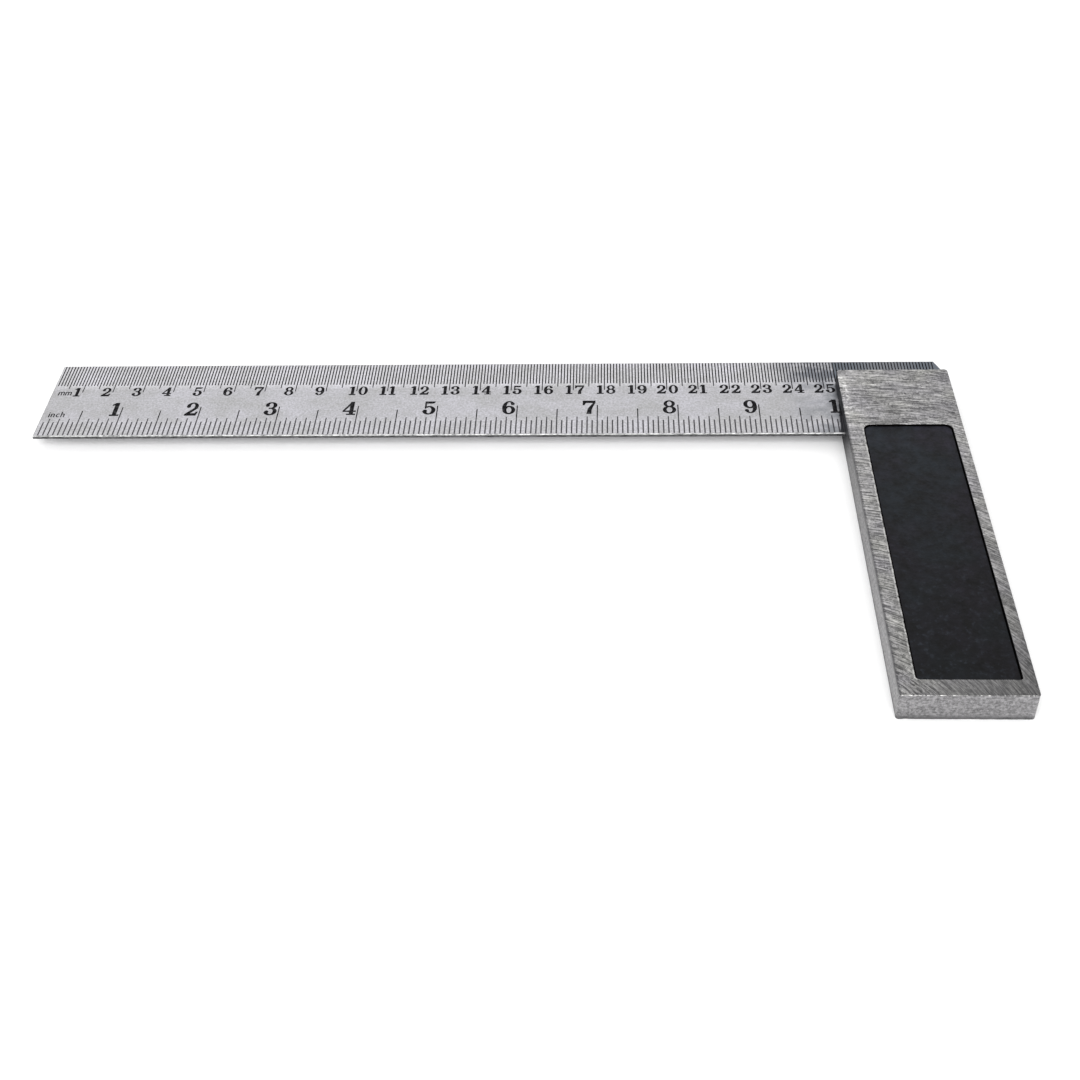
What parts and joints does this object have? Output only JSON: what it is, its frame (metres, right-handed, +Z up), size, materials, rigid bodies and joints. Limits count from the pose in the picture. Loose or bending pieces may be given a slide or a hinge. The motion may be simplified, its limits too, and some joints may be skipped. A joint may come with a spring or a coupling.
{
  "type": "steel try square",
  "caption": "Flat all-steel try square: a thin graduated steel rule riveted at a right angle into a thick steel stock with a black panel in each face.",
  "frame": {"origin": "the middle of the square's footprint, at the height of the surface that the stock rests on", "axes": "+X along the blade from its free end towards the stock, +Y from the stock's near end towards the blade's outer edge, +Z up, out of the graduated side"},
  "size_m": [0.289, 0.15, 0.009],
  "materials": {
    "ground_steel": "coarsely ground, arc-shaped scratches",
    "satin_steel": "light satin, with dark graduations",
    "rivet_steel": "ground flush with the stock",
    "black_enamel": "satin black enamel with a lumpy surface"
  },
  "bodies": {
    "root": {"stock_body": "ground_steel", "blade": "satin_steel", "rivet_1": "rivet_steel", "rivet_2": "rivet_steel", "rivet_3": "rivet_steel", "front_inlay": "black_enamel", "rear_inlay": "black_enamel"}
  },
  "joints": []
}
